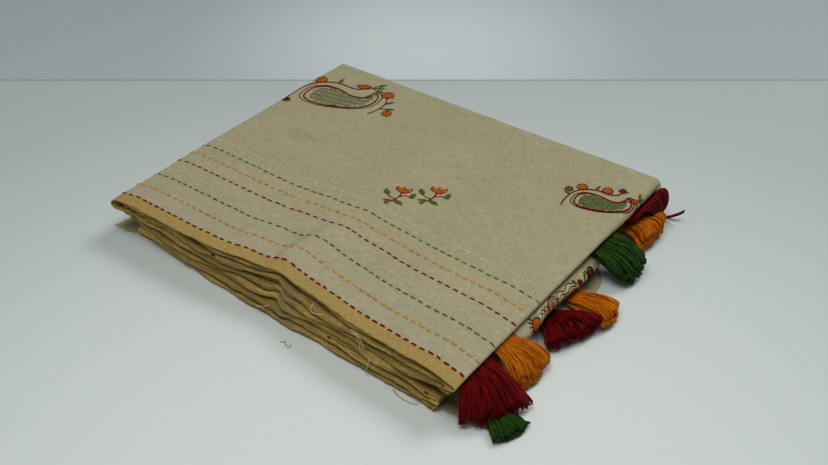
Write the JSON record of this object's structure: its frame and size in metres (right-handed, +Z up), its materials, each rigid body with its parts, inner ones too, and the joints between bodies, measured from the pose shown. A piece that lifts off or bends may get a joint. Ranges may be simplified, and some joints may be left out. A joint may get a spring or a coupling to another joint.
{
  "type": "folded saree",
  "caption": "Folded beige saree lying flat, with gold selvedge edges, running stitch rows, embroidered sprigs and thick coloured tassels along the end of its pallu.",
  "frame": {"origin": "centre of the resting face: on the surface it lies on, below the middle of the folded stack", "axes": "+X along the saree's length towards the tassels, +Y from the gold selvedge edges towards the back fold, +Z up"},
  "size_m": [0.3851, 0.3004, 0.0397],
  "materials": {
    "cloth": "matt plain weave with slubs",
    "gold_edge": "matt plain weave with a dull gold yarn",
    "crimson_thread": "soft cotton thread",
    "orange_thread": "soft cotton thread",
    "green_thread": "soft cotton thread"
  },
  "bodies": {
    "root": {"hidden_layers": "cloth", "top_cloth": "cloth", "selvedge_1": "gold_edge", "selvedge_2": "gold_edge", "selvedge_3": "gold_edge", "selvedge_4": "gold_edge", "selvedge_5": "gold_edge", "selvedge_6": "gold_edge", "bottom_cloth": "cloth", "pallu_fold": "cloth", "tassel_crimson_front": "crimson_thread", "tassel_orange_front": "orange_thread", "tassel_green_low": "green_thread", "tassel_crimson_middle": "crimson_thread", "tassel_orange_middle": "orange_thread", "tassel_green_back": "green_thread", "tassel_orange_back": "orange_thread", "tassel_crimson_back": "crimson_thread"}
  },
  "joints": []
}
